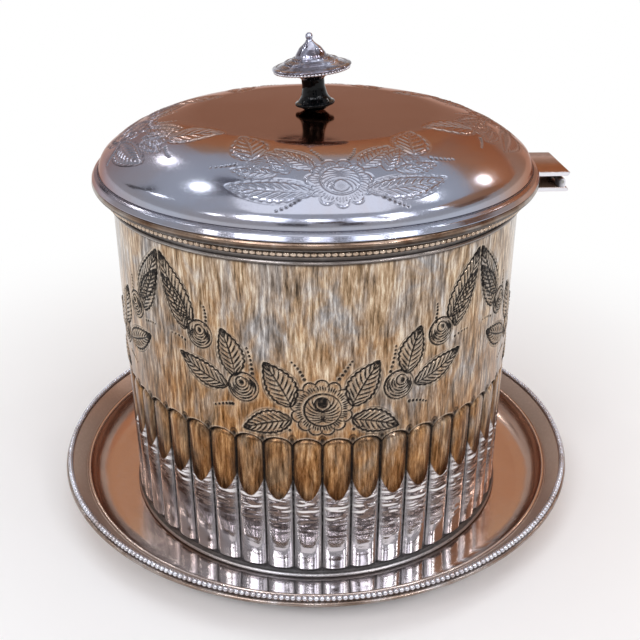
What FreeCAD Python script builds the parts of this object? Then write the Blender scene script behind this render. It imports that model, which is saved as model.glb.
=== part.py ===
import FreeCAD, Part
import math
import os
import Sketcher
from types import SimpleNamespace

# A round silver-plated biscuit box on its fixed tray, with a hinged lid and a turned finial.
# Millimetres. +Z is up, the origin is the middle of the tray's underside, and the hinge lies on +X.

DIMENSIONS = {
    # Tray: one dished sheet, with a ridge at the foot of its sloping rim band
    "tray_sheet": 1.2,
    "well_margin": 10.8,
    "cove_radius": 10.6,
    "ridge_radius": 0.8,
    "rim_band_width": 5.6,
    "rim_band_rise": 5.0,
    "rim_band_round": 9.0,
    "rim_land_width": 1.2,
    # Plain and beaded wires round the tray's edge
    "edge_wire_drop": 1.6,
    "edge_wire_flat": 1.2,
    "tray_bead_radius": 1.1,
    "tray_bead_inset": 1.1,
    # Drum: a seamed sheet, fluted below and plain above
    "drum_radius": 83.2,
    "drum_sheet": 1.0,
    "base_wire_height": 1.8,
    "base_wire_inset": 2.4,
    "base_wire_flat": 0.1,
    "drum_foot_inset": 2.2,
    "drum_foot_height": 1.4,
    "drum_floor_sheet": 1.2,
    "flute_height": 61.7,
    "flute_depth": 1.8,
    "flute_count": 46,
    "drum_height": 141.6,
    # Mouth of the drum: a plain wire, a coved collar with a flange, and a beaded wire between
    "mouth_wire_height": 1.6,
    "mouth_wire_flat": 0.9,
    "mouth_wire_drop": 6.6,
    "collar_foot": 0.8,
    "collar_seat": 2.2,
    "collar_seat_rise": 2.45,
    "collar_round": 3.2,
    "collar_flange": 5.8,
    "collar_flange_rise": 0.75,
    "collar_flange_sheet": 0.5,
    "collar_top_round": 4.0,
    "mouth_bead_radius": 1.0,
    "mouth_bead_flat": 1.1,
    # Lid: a domed sheet on a plain rim wire, and a bezel that drops into the mouth
    "lid_gap": 0.3,
    "lid_overhang": 1.8,
    "lid_wire_radius": 1.4,
    "lid_wire_flat": 1.0,
    "lid_sheet": 1.0,
    "lid_band_inset": 0.2,
    "lid_band_width": 2.4,
    "lid_band_rise": 2.7,
    "lid_band_round": 3.4,
    "lid_groove": 0.6,
    "lid_groove_drop": 0.3,
    "lid_wall_rise": 0.9,
    "lid_turn_width": 3.0,
    "lid_turn_rise": 5.4,
    "lid_turn_round": 8.4,
    "lid_shoulder_width": 38.0,
    "lid_shoulder_rise": 13.5,
    "lid_shoulder_round": 60.0,
    "lid_crown_rise": 0.4,
    "lid_crown_round": 2645.0,
    "bezel_gap": 0.5,
    "bezel_sheet": 0.8,
    "bezel_depth": 4.7,
    # Stop hinge: two leaves whose tails meet when the lid is open
    "hinge_length": 29.2,
    "hinge_reach": 11.0,
    "hinge_drop": 2.0,
    "hinge_barrel_radius": 1.4,
    "hinge_pin_radius": 0.7,
    "hinge_pin_gap": 0.05,
    "hinge_knuckle_gap": 0.15,
    "hinge_pin_head": 0.3,
    "hinge_stop_angle": 48.0,
    "hinge_tail_rise": 3.1,
    "hinge_plate_rise": 2.3,
    "hinge_tail_sheet": 1.0,
    "hinge_tail_lip": 0.2,
    "lid_leaf_root": 1.8,
    "lid_leaf_sheet": 2.0,
    "body_leaf_root": 0.6,
    "body_leaf_sheet": 1.9,
    # Finial: a waisted stem and a canopy with a beaded edge and a ball tip, leaning a little
    "finial_lean": 5.0,
    "stem_foot_radius": 4.1,
    "stem_sink": 1.0,
    "stem_collar_radius": 7.2,
    "stem_collar_height": 2.6,
    "stem_collar_edge": 0.8,
    "stem_collar_step": 0.9,
    "stem_shoulder_height": 0.6,
    "stem_waist_radius": 4.2,
    "stem_waist_height": 10.4,
    "stem_height": 12.6,
    "stem_flare_round": 11.0,
    "stem_top_radius": 4.6,
    "stem_top_round": 4.0,
    "hub_radius": 6.6,
    "hub_height": 2.0,
    "brim_radius": 15.9,
    "brim_rise": 2.2,
    "brim_edge": 1.0,
    "brim_top_rise": 1.7,
    "brim_top_width": 5.0,
    "brim_step": 0.4,
    "ring_width": 3.2,
    "ring_rise": 0.9,
    "ring_round": 4.5,
    "bell_radius": 6.3,
    "bell_rise": 4.6,
    "bell_round": 11.0,
    "bell_top_radius": 3.0,
    "bell_neck_rise": 1.8,
    "bell_neck_round": 2.6,
    "tip_neck_radius": 1.3,
    "tip_neck_rise": 0.9,
    "tip_radius": 1.45,
    "finial_bead_radius": 0.6,
    "finial_bead_inset": 0.5,
    # Fixing of the finial: a stud through the dome, with a washer and a nut inside the lid
    "stud_radius": 1.5,
    "stud_gap": 0.05,
    "stud_in_canopy": 4.0,
    "stud_hole_gap": 0.4,
    "stud_tail": 1.2,
    "washer_radius": 5.0,
    "washer_sheet": 0.8,
    "washer_gap": 0.5,
    "nut_radius": 4.0,
    "nut_height": 2.4,
}
# How far the inside of the dome's turn lies in and down, as shares of the sheet's thickness
DOME_TURN_SHARES = (0.64, 0.77)
# Corners of the tray beading's rounded top, worked as seven flats, as shares of its radius
BEAD_FLAT_SHARES = [
    (1.0, 0.0), (0.9, 0.43), (0.62, 0.78), (0.22, 0.97), (-0.22, 0.97), (-0.62, 0.78), (-0.9, 0.43),
    (-1.0, 0.0)]
# How far the flutes are turned back from the hinge, as a share of one flute
FLUTE_TURN_SHARE = 0.23
KNUCKLES = 5
PIECES = [
    "tray_dish", "tray_edge_wire", "tray_bead_wire", "base_wire", "drum_wall", "drum_floor",
    "mouth_edge_wire", "mouth_band", "mouth_bead_wire", "body_hinge_leaf", "hinge_pin",
    "lid_hinge_leaf", "lid_rim_wire", "lid_dome", "lid_bezel", "finial_stem", "finial_canopy",
    "finial_bead_wire", "finial_tip", "finial_stud", "finial_washer", "finial_nut",
]

doc = FreeCAD.newDocument("biscuit_box")
sheet = doc.addObject("Spreadsheet::Sheet", "sizes")


class Size:
    """A named size, or one worked out from others: its expression for the sheet, and its value."""

    def __init__(self, text, value):
        self.text = text
        self.value = value

    def __add__(self, other):
        other = as_size(other)
        return Size(f"({self.text} + {other.text})", self.value + other.value)

    def __sub__(self, other):
        other = as_size(other)
        return Size(f"({self.text} - {other.text})", self.value - other.value)

    def __mul__(self, other):
        other = as_size(other)
        return Size(f"({self.text} * {other.text})", self.value * other.value)

    def __truediv__(self, other):
        other = as_size(other)
        return Size(f"({self.text} / {other.text})", self.value / other.value)


def as_size(number):
    return number if isinstance(number, Size) else Size(repr(number), number)


def over_tangent(length, angle):
    """The length divided by the tangent of an angle in degrees."""
    return Size(f"({length.text} / tan({angle.text} * 1 deg))",
                length.value / math.tan(math.radians(angle.value)))


def fill_sheet():
    names = {}
    for row, (alias, value) in enumerate(DIMENSIONS.items(), start=1):
        sheet.set(f"A{row}", alias)
        sheet.set(f"B{row}", str(value))
        sheet.setAlias(f"B{row}", alias)
        names[alias] = Size(f"sizes.{alias}", value)
    doc.recompute()
    return SimpleNamespace(**names)


d = fill_sheet()
ZERO = Size("0", 0.0)


def bind(item, **sizes):
    """Bind properties of a document object to sizes."""
    for name, size in sizes.items():
        item.setExpression(name, size.text)
    return item


def place(item, x=ZERO, y=ZERO, z=ZERO):
    """Bind an object's place to sizes."""
    for axis, size in zip("xyz", (x, y, z)):
        item.setExpression(f"Placement.Base.{axis}", size.text)
    return item


def outline(body, name, corners):
    """A closed outline on the XZ plane. A corner is (across, up), and an edge that leaves it round adds
    a radius, or "half" for a half circle, and then the side of the edge's run on which its centre lies."""
    sketch = body.newObject("Sketcher::SketchObject", name)
    sketch.AttachmentSupport = (body_plane(body, "XZ_Plane"), [""])
    sketch.MapMode = "FlatFace"
    count = len(corners)
    starts = []
    ends = []
    for index, corner in enumerate(corners):
        following = corners[(index + 1) % count]
        a = (corner[0].value, corner[1].value)
        b = (following[0].value, following[1].value)
        if len(corner) == 2:
            edge = sketch.addGeometry(Part.LineSegment(FreeCAD.Vector(*a, 0), FreeCAD.Vector(*b, 0)))
            starts.append((edge, 1))
            ends.append((edge, 2))
            continue
        radius, side = corner[2], corner[3]
        chord = math.dist(a, b)
        half = chord / 2
        reach = 0.0 if radius == "half" else math.sqrt(radius.value ** 2 - half ** 2)
        sign = 1 if side == "left" else -1
        across = (-(b[1] - a[1]) / chord * sign, (b[0] - a[0]) / chord * sign)
        centre = ((a[0] + b[0]) / 2 + across[0] * reach, (a[1] + b[1]) / 2 + across[1] * reach)
        size = half if radius == "half" else radius.value
        circle = Part.Circle(FreeCAD.Vector(*centre, 0), FreeCAD.Vector(0, 0, 1), size)
        first, last = (a, b) if side == "left" else (b, a)
        angles = [math.atan2(p[1] - centre[1], p[0] - centre[0]) for p in (first, last)]
        if angles[1] < angles[0]:
            angles[1] += 2 * math.pi
        edge = sketch.addGeometry(Part.ArcOfCircle(circle, *angles))
        starts.append((edge, 1 if side == "left" else 2))
        ends.append((edge, 2 if side == "left" else 1))
        if radius == "half":
            upright = abs(b[1] - a[1]) > abs(b[0] - a[0])
            middle = (corner[0] + following[0]) / 2 if upright else (corner[1] + following[1]) / 2
            kind = "DistanceX" if upright else "DistanceY"
            fix(sketch, Sketcher.Constraint(kind, -1, 1, edge, 3, middle.value), middle)
        else:
            fix(sketch, Sketcher.Constraint("Radius", edge, radius.value), radius)
    for index, corner in enumerate(corners):
        sketch.addConstraint(Sketcher.Constraint("Coincident", *ends[index - 1], *starts[index]))
        for kind, axis, size in (("DistanceX", -2, corner[0]), ("DistanceY", -1, corner[1])):
            if size.value == 0:
                sketch.addConstraint(Sketcher.Constraint("PointOnObject", *starts[index], axis))
            else:
                fix(sketch, Sketcher.Constraint(kind, -1, 1, *starts[index], size.value), size)
    return sketch


def fix(sketch, constraint, size):
    index = sketch.addConstraint(constraint)
    sketch.setExpression(f"Constraints[{index}]", size.text)


def body_plane(body, role):
    return next(item for item in body.Origin.OriginFeatures if item.Role == role)


def turned(name, corners):
    """A body turned about Z from an outline, given as (radius, height) corners."""
    body = doc.addObject("PartDesign::Body", name)
    sketch = outline(body, f"{name}_outline", corners)
    turn = body.newObject("PartDesign::Revolution", f"{name}_turn")
    turn.Profile = sketch
    turn.ReferenceAxis = (sketch, ["V_Axis"])
    turn.Angle = 360
    body.Tip = turn
    return body


def across_y(name, corners, length):
    """A body with an outline on the XZ plane and its length along Y, half on each side."""
    body = doc.addObject("PartDesign::Body", name)
    sketch = outline(body, f"{name}_outline", corners)
    pad = body.newObject("PartDesign::Pad", f"{name}_pad")
    pad.Profile = sketch
    pad.SideType = "Symmetric"
    bind(pad, Length=length)
    body.Tip = pad
    return body


def rod_y(name, radius, length, x, y, z):
    """A round bar along Y, from y to y + length."""
    rod = doc.addObject("Part::Cylinder", name)
    rod.Placement = FreeCAD.Placement(FreeCAD.Vector(), FreeCAD.Rotation(FreeCAD.Vector(1, 0, 0), -90))
    return place(bind(rod, Radius=radius, Height=length), x, y, z)


def fused(name, items):
    fuse = doc.addObject("Part::MultiFuse", name)
    fuse.Shapes = items
    return fuse


def cut(name, base, tool):
    result = doc.addObject("Part::Cut", name)
    result.Base = base
    result.Tool = tool
    return result


def wire_ring(name, inner, bottom, flat, height):
    """A D-shaped wire bent to a ring: flat inside, round outside."""
    return turned(name, [
        (inner, bottom),
        (inner + flat, bottom, "half", "left"),
        (inner + flat, bottom + height),
        (inner, bottom + height)])


# Heights and radii that several pieces share
well_radius = d.drum_radius + d.well_margin
ridge_inner = well_radius + d.cove_radius
ridge_outer = ridge_inner + d.ridge_radius * 2
ridge_top = d.tray_sheet + d.cove_radius
land_inner = ridge_outer + d.rim_band_width
land_top = ridge_top + d.rim_band_rise
tray_edge = land_inner + d.rim_land_width
base_wire_top = d.tray_sheet + d.base_wire_height
foot_radius = d.drum_radius - d.drum_foot_inset
foot_top = base_wire_top + d.drum_foot_height
flute_top = foot_top + d.flute_height
drum_bore = d.drum_radius - d.drum_sheet
drum_top = d.tray_sheet + d.drum_height
mouth_wire_bottom = drum_top - d.mouth_wire_drop
collar_bottom = mouth_wire_bottom + d.mouth_wire_height
seat_radius = d.drum_radius + d.collar_seat
seat_bottom = collar_bottom + d.collar_seat_rise
seat_top = seat_bottom + d.mouth_bead_radius * 2
flange_radius = d.drum_radius + d.collar_flange
flange_bottom = seat_top + d.collar_flange_rise
mouth_top = flange_bottom + d.collar_flange_sheet
lid_bottom = mouth_top + d.lid_gap
lid_radius = flange_radius + d.lid_overhang
band_bottom = lid_bottom + d.lid_wire_radius * 2
band_radius = lid_radius - d.lid_band_inset
lid_wire_inner = lid_radius - d.lid_wire_radius - d.lid_wire_flat
groove_outer = band_radius - d.lid_band_width
groove_inner = groove_outer - d.lid_groove
groove_height = band_bottom + d.lid_band_rise - d.lid_groove_drop
wall_top = groove_height + d.lid_wall_rise
turn_radius = groove_inner - d.lid_turn_width
turn_top = wall_top + d.lid_turn_rise
crown_edge = turn_radius - d.lid_shoulder_width
crown_edge_top = turn_top + d.lid_shoulder_rise
crown_top = crown_edge_top + d.lid_crown_rise
stud_hole = d.stud_radius + d.stud_hole_gap
bezel_radius = drum_bore - d.bezel_gap
hinge_x = flange_radius + d.hinge_reach
hinge_z = mouth_top - d.hinge_drop
tail_x = hinge_x + over_tangent(d.hinge_tail_rise, d.hinge_stop_angle)
stop_x = hinge_x + over_tangent(d.hinge_plate_rise, d.hinge_stop_angle)


def make_tray():
    tray_bottom_edge = land_top - d.tray_sheet
    turned("tray_dish", [
        (ZERO, ZERO),
        (well_radius, ZERO, d.cove_radius + d.tray_sheet, "left"),
        (ridge_inner + d.tray_sheet, ridge_top - d.tray_sheet),
        (ridge_outer + d.tray_sheet, ridge_top - d.tray_sheet, d.rim_band_round, "left"),
        (land_inner + d.tray_sheet - d.ridge_radius / 4, tray_bottom_edge),
        (tray_edge, tray_bottom_edge),
        (tray_edge, land_top),
        (land_inner, land_top, d.rim_band_round, "right"),
        (ridge_outer, ridge_top, "half", "left"),
        (ridge_inner, ridge_top, d.cove_radius + d.ridge_radius / 4, "right"),
        (well_radius, d.tray_sheet),
        (ZERO, d.tray_sheet)])
    wire_ring("tray_edge_wire", tray_edge, land_top - d.edge_wire_drop, d.edge_wire_flat,
              d.edge_wire_drop)
    bead_inner = tray_edge - d.tray_bead_inset
    bead_middle = bead_inner + d.tray_bead_radius
    bead_height = land_top + d.tray_bead_radius
    turned("tray_bead_wire", [
        (bead_inner, land_top),
        (bead_inner + d.tray_bead_radius * 2, land_top),
        *[(bead_middle + d.tray_bead_radius * across, bead_height + d.tray_bead_radius * up)
          for across, up in BEAD_FLAT_SHARES]])


def scalloped_face(groove, crest):
    """A face whose edge runs in round lobes, crest out, between grooves."""
    count = int(d.flute_count.value)
    step = 2 * math.pi / count

    def at(radius, angle):
        return FreeCAD.Vector(radius * math.cos(angle), radius * math.sin(angle), 0)

    lobes = []
    for index in range(count):
        angle = (index - FLUTE_TURN_SHARE) * step
        lobe = Part.Arc(at(groove, angle - step / 2), at(crest, angle), at(groove, angle + step / 2))
        lobes.append(lobe.toShape())
    return Part.Face(Part.Wire(lobes))


def fluted_solid(name, crest, bottom, top):
    """The scalloped outline, whose arcs come from a formula, raised between two heights."""
    face = doc.addObject("Part::Feature", f"{name}_face")
    face.Shape = scalloped_face((crest - d.flute_depth).value, crest.value)
    solid = doc.addObject("Part::Extrusion", name)
    solid.Base = face
    solid.DirMode = "Custom"
    solid.Dir = FreeCAD.Vector(0, 0, 1)
    solid.Solid = True
    bind(solid, LengthFwd=top - bottom)
    return place(solid, z=bottom)


def make_drum():
    wire_ring("base_wire", d.drum_radius - d.base_wire_inset, d.tray_sheet,
              d.base_wire_inset + d.base_wire_flat, d.base_wire_height)
    wall = turned("drum_plain_wall", [
        (ZERO, base_wire_top),
        (foot_radius, base_wire_top),
        (foot_radius, foot_top + d.drum_sheet),
        (drum_bore, flute_top - d.drum_sheet),
        (d.drum_radius, flute_top - d.drum_sheet),
        (d.drum_radius, drum_top),
        (ZERO, drum_top)])
    lobes = fluted_solid("drum_lobes", d.drum_radius, foot_top, flute_top)
    outside = fused("drum_outside", [wall, lobes])
    hollow = turned("drum_plain_hollow", [
        (ZERO, base_wire_top),
        (foot_radius - d.drum_sheet, base_wire_top),
        (foot_radius - d.drum_sheet, foot_top + d.drum_sheet),
        (drum_bore - d.flute_depth, foot_top + d.drum_sheet),
        (drum_bore - d.flute_depth, flute_top),
        (drum_bore, flute_top),
        (drum_bore, drum_top),
        (ZERO, drum_top)])
    hollow_lobes = fluted_solid("drum_hollow_lobes", drum_bore, foot_top + d.drum_sheet,
                                flute_top - d.drum_sheet)
    inside = fused("drum_inside", [hollow, hollow_lobes])
    cut("drum_wall", outside, inside)
    turned("drum_floor", [
        (ZERO, base_wire_top),
        (foot_radius - d.drum_sheet, base_wire_top),
        (foot_radius - d.drum_sheet, base_wire_top + d.drum_floor_sheet),
        (ZERO, base_wire_top + d.drum_floor_sheet)])


def make_mouth():
    edge_wire = wire_ring("mouth_edge_wire", d.drum_radius, mouth_wire_bottom, d.mouth_wire_flat,
                          d.mouth_wire_height)
    collar = turned("mouth_band", [
        (d.drum_radius, collar_bottom),
        (d.drum_radius + d.collar_foot, collar_bottom, d.collar_round, "right"),
        (seat_radius, seat_bottom),
        (seat_radius, seat_top, d.collar_top_round, "right"),
        (flange_radius, flange_bottom),
        (flange_radius, mouth_top),
        (drum_bore, mouth_top),
        (drum_bore, drum_top),
        (d.drum_radius, drum_top)])
    bead_wire = wire_ring("mouth_bead_wire", seat_radius, seat_bottom, d.mouth_bead_flat,
                          d.mouth_bead_radius * 2)
    return [edge_wire, collar, bead_wire]


def make_lid():
    rim_wire = turned("lid_rim_wire", [
        (lid_wire_inner, lid_bottom),
        (lid_wire_inner + d.lid_wire_flat, lid_bottom, "half", "left"),
        (lid_wire_inner + d.lid_wire_flat, band_bottom),
        (lid_wire_inner, band_bottom)])
    turn_in = d.lid_sheet * DOME_TURN_SHARES[0]
    turn_down = d.lid_sheet * DOME_TURN_SHARES[1]
    dome = turned("lid_dome", [
        (groove_inner - d.lid_sheet, band_bottom),
        (band_radius, band_bottom, d.lid_band_round, "left"),
        (groove_outer, band_bottom + d.lid_band_rise),
        (groove_inner, groove_height),
        (groove_inner, wall_top, d.lid_turn_round, "left"),
        (turn_radius, turn_top, d.lid_shoulder_round, "left"),
        (crown_edge, crown_edge_top, d.lid_crown_round, "left"),
        (stud_hole, crown_top),
        (stud_hole, crown_top - d.lid_sheet, d.lid_crown_round - d.lid_sheet, "right"),
        (crown_edge, crown_edge_top - d.lid_sheet, d.lid_shoulder_round - d.lid_sheet, "right"),
        (turn_radius - turn_in, turn_top - turn_down, d.lid_turn_round - d.lid_sheet, "right"),
        (groove_inner - d.lid_sheet, wall_top)])
    turned("lid_bezel", [
        (bezel_radius - d.bezel_sheet, mouth_top - d.bezel_depth),
        (bezel_radius, mouth_top - d.bezel_depth),
        (bezel_radius, band_bottom - d.bezel_sheet),
        (lid_wire_inner, band_bottom - d.bezel_sheet),
        (lid_wire_inner, band_bottom),
        (bezel_radius - d.bezel_sheet, band_bottom)])
    return [rim_wire, dome]


def knuckles(name, first, side):
    """Every other knuckle of the barrel with the web that joins it to its leaf, above or below the pin."""
    pitch = d.hinge_length / KNUCKLES
    made = []
    for index in range(first, KNUCKLES, 2):
        start = pitch * index - d.hinge_length / 2 + d.hinge_knuckle_gap / 2
        length = pitch - d.hinge_knuckle_gap
        label = f"{name}_{index}"
        made.append(rod_y(f"{label}_barrel", d.hinge_barrel_radius, length, hinge_x, start, hinge_z))
        web = doc.addObject("Part::Box", f"{label}_web")
        bind(web, Length=d.hinge_barrel_radius * 2, Width=length, Height=d.hinge_plate_rise)
        place(web, hinge_x - d.hinge_barrel_radius, start,
              hinge_z if side == "above" else hinge_z - d.hinge_plate_rise)
        made.append(web)
    return made


def make_hinge(mouth, lid):
    plate_bottom = hinge_z + d.hinge_plate_rise
    tail_top = hinge_z + d.hinge_tail_rise
    root = lid_radius - d.lid_leaf_root
    lid_plate = across_y("lid_leaf_plate", [
        (root, plate_bottom),
        (stop_x, plate_bottom),
        (tail_x, tail_top),
        (tail_x + d.hinge_tail_lip, tail_top + d.hinge_tail_sheet),
        (root, plate_bottom + d.lid_leaf_sheet)], d.hinge_length)
    lid_leaf = fused("lid_leaf_whole", [cut("lid_leaf_seated", lid_plate, fused("lid_edge", lid))]
                     + knuckles("lid_knuckle", 1, "above"))
    body_plate = across_y("body_leaf_plate", [
        (d.drum_radius - d.body_leaf_root, hinge_z - d.hinge_plate_rise - d.body_leaf_sheet),
        (tail_x + d.hinge_tail_lip, hinge_z - d.hinge_tail_rise - d.hinge_tail_sheet),
        (tail_x, hinge_z - d.hinge_tail_rise),
        (stop_x, hinge_z - d.hinge_plate_rise),
        (d.drum_radius - d.body_leaf_root, hinge_z - d.hinge_plate_rise)], d.hinge_length)
    core = doc.addObject("Part::Cylinder", "drum_core")
    bind(core, Radius=d.drum_radius, Height=drum_top)
    body_leaf = fused("body_leaf_whole",
                      [cut("body_leaf_seated", body_plate, fused("mouth_edge", mouth + [core]))]
                      + knuckles("body_knuckle", 0, "below"))
    for name, leaf in (("lid_hinge_leaf", lid_leaf), ("body_hinge_leaf", body_leaf)):
        bore = rod_y(f"{name}_bore", d.hinge_pin_radius + d.hinge_pin_gap, d.hinge_length * 2,
                     hinge_x, ZERO - d.hinge_length, hinge_z)
        cut(name, leaf, bore)
    rod_y("hinge_pin", d.hinge_pin_radius, d.hinge_length + d.hinge_pin_head * 2,
          hinge_x, ZERO - d.hinge_length / 2 - d.hinge_pin_head, hinge_z)


def leaning(item):
    """Stand an upright piece of the finial on the crown, with the finial's lean towards -X."""
    item.Placement = FreeCAD.Placement(FreeCAD.Vector(), FreeCAD.Rotation(FreeCAD.Vector(0, 1, 0), -1))
    item.setExpression("Placement.Rotation.Angle", f"{d.finial_lean.text} * -1")
    item.setExpression("Placement.Rotation.Axis.y", "1")
    return place(item, z=crown_top)


def make_finial():
    stud_bore = d.stud_radius + d.stud_gap
    collar_top = d.stem_collar_height + d.stem_collar_edge
    shoulder = collar_top + d.stem_shoulder_height
    stem = leaning(turned("stem_turned", [
        (stud_bore, ZERO - d.stem_sink),
        (d.stem_foot_radius, ZERO - d.stem_sink),
        (d.stem_foot_radius, ZERO),
        (d.stem_collar_radius, d.stem_collar_height),
        (d.stem_collar_radius, collar_top),
        (d.stem_collar_radius - d.stem_collar_step, shoulder, d.stem_flare_round, "right"),
        (d.stem_waist_radius, d.stem_waist_height, d.stem_top_round, "right"),
        (d.stem_top_radius, d.stem_height),
        (stud_bore, d.stem_height)]))
    below = doc.addObject("Part::Cylinder", "stem_foot_cut")
    bind(below, Radius=d.stem_collar_radius, Height=crown_top)
    cut("finial_stem", stem, below)
    hub_top = d.stem_height + d.hub_height
    brim_bottom = hub_top + d.brim_rise
    brim_top = brim_bottom + d.brim_edge
    bead_inner = d.brim_radius - d.finial_bead_inset - d.finial_bead_radius * 2
    slope_top = brim_top + d.brim_top_rise
    slope_radius = d.brim_radius - d.brim_top_width
    ring_bottom = slope_top + d.brim_step
    ring_radius = slope_radius - d.ring_width
    bell_bottom = ring_bottom + d.ring_rise
    bell_top = bell_bottom + d.bell_rise + d.bell_neck_rise
    leaning(turned("finial_canopy", [
        (stud_bore, d.stem_height),
        (d.stem_top_radius, d.stem_height),
        (d.hub_radius, hub_top),
        (bead_inner, brim_bottom),
        (d.brim_radius - d.brim_edge / 2, brim_bottom, "half", "left"),
        (d.brim_radius - d.brim_edge / 2, brim_top),
        (slope_radius, slope_top),
        (slope_radius, ring_bottom, d.ring_round, "left"),
        (ring_radius, bell_bottom),
        (d.bell_radius, bell_bottom, d.bell_round, "left"),
        (d.bell_top_radius, bell_bottom + d.bell_rise, d.bell_neck_round, "right"),
        (d.tip_neck_radius, bell_top),
        (ZERO, bell_top),
        (ZERO, d.stem_height + d.stud_in_canopy),
        (stud_bore, d.stem_height + d.stud_in_canopy)]))
    leaning(turned("finial_bead_wire", [
        (bead_inner, brim_bottom - d.finial_bead_radius, "half", "left"),
        (bead_inner + d.finial_bead_radius * 2, brim_bottom - d.finial_bead_radius),
        (bead_inner + d.finial_bead_radius * 2, brim_bottom),
        (bead_inner, brim_bottom)]))
    ball = doc.addObject("Part::Sphere", "tip_ball")
    tip_centre = bell_top + d.tip_neck_rise + d.tip_radius / 2
    place(bind(ball, Radius=d.tip_radius), z=tip_centre)
    neck = doc.addObject("Part::Cylinder", "tip_neck")
    place(bind(neck, Radius=d.tip_neck_radius, Height=tip_centre - bell_top), z=bell_top)
    leaning(fused("finial_tip", [ball, neck]))


def make_fixing():
    washer_top = ZERO - d.lid_sheet - d.washer_gap
    nut_top = washer_top - d.washer_sheet
    stud_bottom = nut_top - d.nut_height - d.stud_tail
    stud_top = d.stem_height + d.stud_in_canopy
    leaning(turned("finial_stud", [
        (ZERO, stud_bottom),
        (d.stud_radius, stud_bottom),
        (d.stud_radius, stud_top),
        (ZERO, stud_top)]))
    leaning(turned("finial_washer", [
        (d.stud_radius + d.stud_gap, nut_top),
        (d.washer_radius, nut_top),
        (d.washer_radius, washer_top),
        (d.stud_radius + d.stud_gap, washer_top)]))
    block = doc.addObject("Part::Prism", "nut_block")
    bind(block, Circumradius=d.nut_radius, Height=d.nut_height)
    bore = doc.addObject("Part::Cylinder", "nut_bore")
    bind(bore, Radius=d.stud_radius + d.stud_gap, Height=d.nut_height)
    for item in (block, bore):
        place(item, z=nut_top - d.nut_height)
    leaning(cut("finial_nut", block, bore))


def check_and_write():
    """Stop at a failed object or a bad solid, then write one STEP file for each piece."""
    failed = [item.Name for item in doc.Objects if {"Invalid", "Error"} & set(item.State)]
    if failed:
        raise RuntimeError(f"failed objects: {failed}")
    os.makedirs("parts", exist_ok=True)
    for name in PIECES:
        piece = doc.getObject(name)
        piece.Label = name
        shape = piece.Shape
        if shape.isNull() or not shape.isValid() or len(shape.Solids) != 1:
            raise RuntimeError(f"{name}: not one valid solid")
        shape.exportStep(f"parts/{name}.step")
        print(f"{name}: volume {shape.Volume:.1f}")


make_tray()
make_drum()
mouth_pieces = make_mouth()
lid_pieces = make_lid()
make_hinge(mouth_pieces, lid_pieces)
make_finial()
make_fixing()
doc.recompute()
check_and_write()
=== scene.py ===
"""A round silver-plated biscuit box on its fixed tray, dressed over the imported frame.

Lengths are millimetres until a mesh is made. +Z is up, the hinge lies on +X and the front on -Y.
"""

import math

import bmesh
import bpy
import numpy as np
from mathutils import Matrix, Vector


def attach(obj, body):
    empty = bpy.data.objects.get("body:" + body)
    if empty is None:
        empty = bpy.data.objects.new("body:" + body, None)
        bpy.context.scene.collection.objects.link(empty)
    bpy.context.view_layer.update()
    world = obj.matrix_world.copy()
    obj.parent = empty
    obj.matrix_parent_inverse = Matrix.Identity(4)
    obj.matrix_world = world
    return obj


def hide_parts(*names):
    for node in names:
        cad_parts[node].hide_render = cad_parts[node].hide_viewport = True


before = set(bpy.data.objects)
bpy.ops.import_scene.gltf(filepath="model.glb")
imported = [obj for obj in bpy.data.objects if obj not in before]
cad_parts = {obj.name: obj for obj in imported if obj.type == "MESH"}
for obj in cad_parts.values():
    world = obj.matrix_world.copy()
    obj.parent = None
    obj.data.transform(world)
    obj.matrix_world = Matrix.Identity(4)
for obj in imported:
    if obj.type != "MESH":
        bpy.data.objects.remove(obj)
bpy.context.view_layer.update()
MM = 0.001
TURN = 2 * math.pi

# Sizes that several pieces share, as the frame has them
DRUM_RADIUS = 83.2
FLUTES = 46
FLUTE_FOOT = 4.4
FLUTE_TOP = 66.1
FLUTE_DEPTH = 1.8
FLUTE_TURN = 0.23
WALL_TOP = 142.8
CROWN_TOP = 169.2
CROWN_EDGE = 46.0
WELL_EDGE = 94.0
COVE_HEIGHT = 11.8
HINGE_X, HINGE_Z = 100.0, 141.5
HINGE_LENGTH = 29.2
KNUCKLES = 5
KNUCKLE_RADIUS = 1.4
FINIAL_LEAN = math.radians(5)

# Columns of faces round the tray, the wires and the smaller or hidden turned pieces
TRAY_COLUMNS = 720
WIRE_COLUMNS = 540
INSIDE_COLUMNS = 360
FINIAL_COLUMNS = 240

# The engraver's garlands: one swag to each quarter of the drum, one spray to each quarter of the lid
SWAG_MIDDLE = math.radians(-92.0)
SPRAY_MIDDLE = math.radians(-87.2)
SPRAY_ROSE = (0.0, 74.6)
QUARTER = TURN / 4


def polar(centre, reach, turn):
    """The place at a distance from a centre, in the direction of an angle."""
    return centre[0] + reach * math.cos(turn), centre[1] + reach * math.sin(turn)


# ---------------------------------------------------------------- the engraver's board

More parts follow.
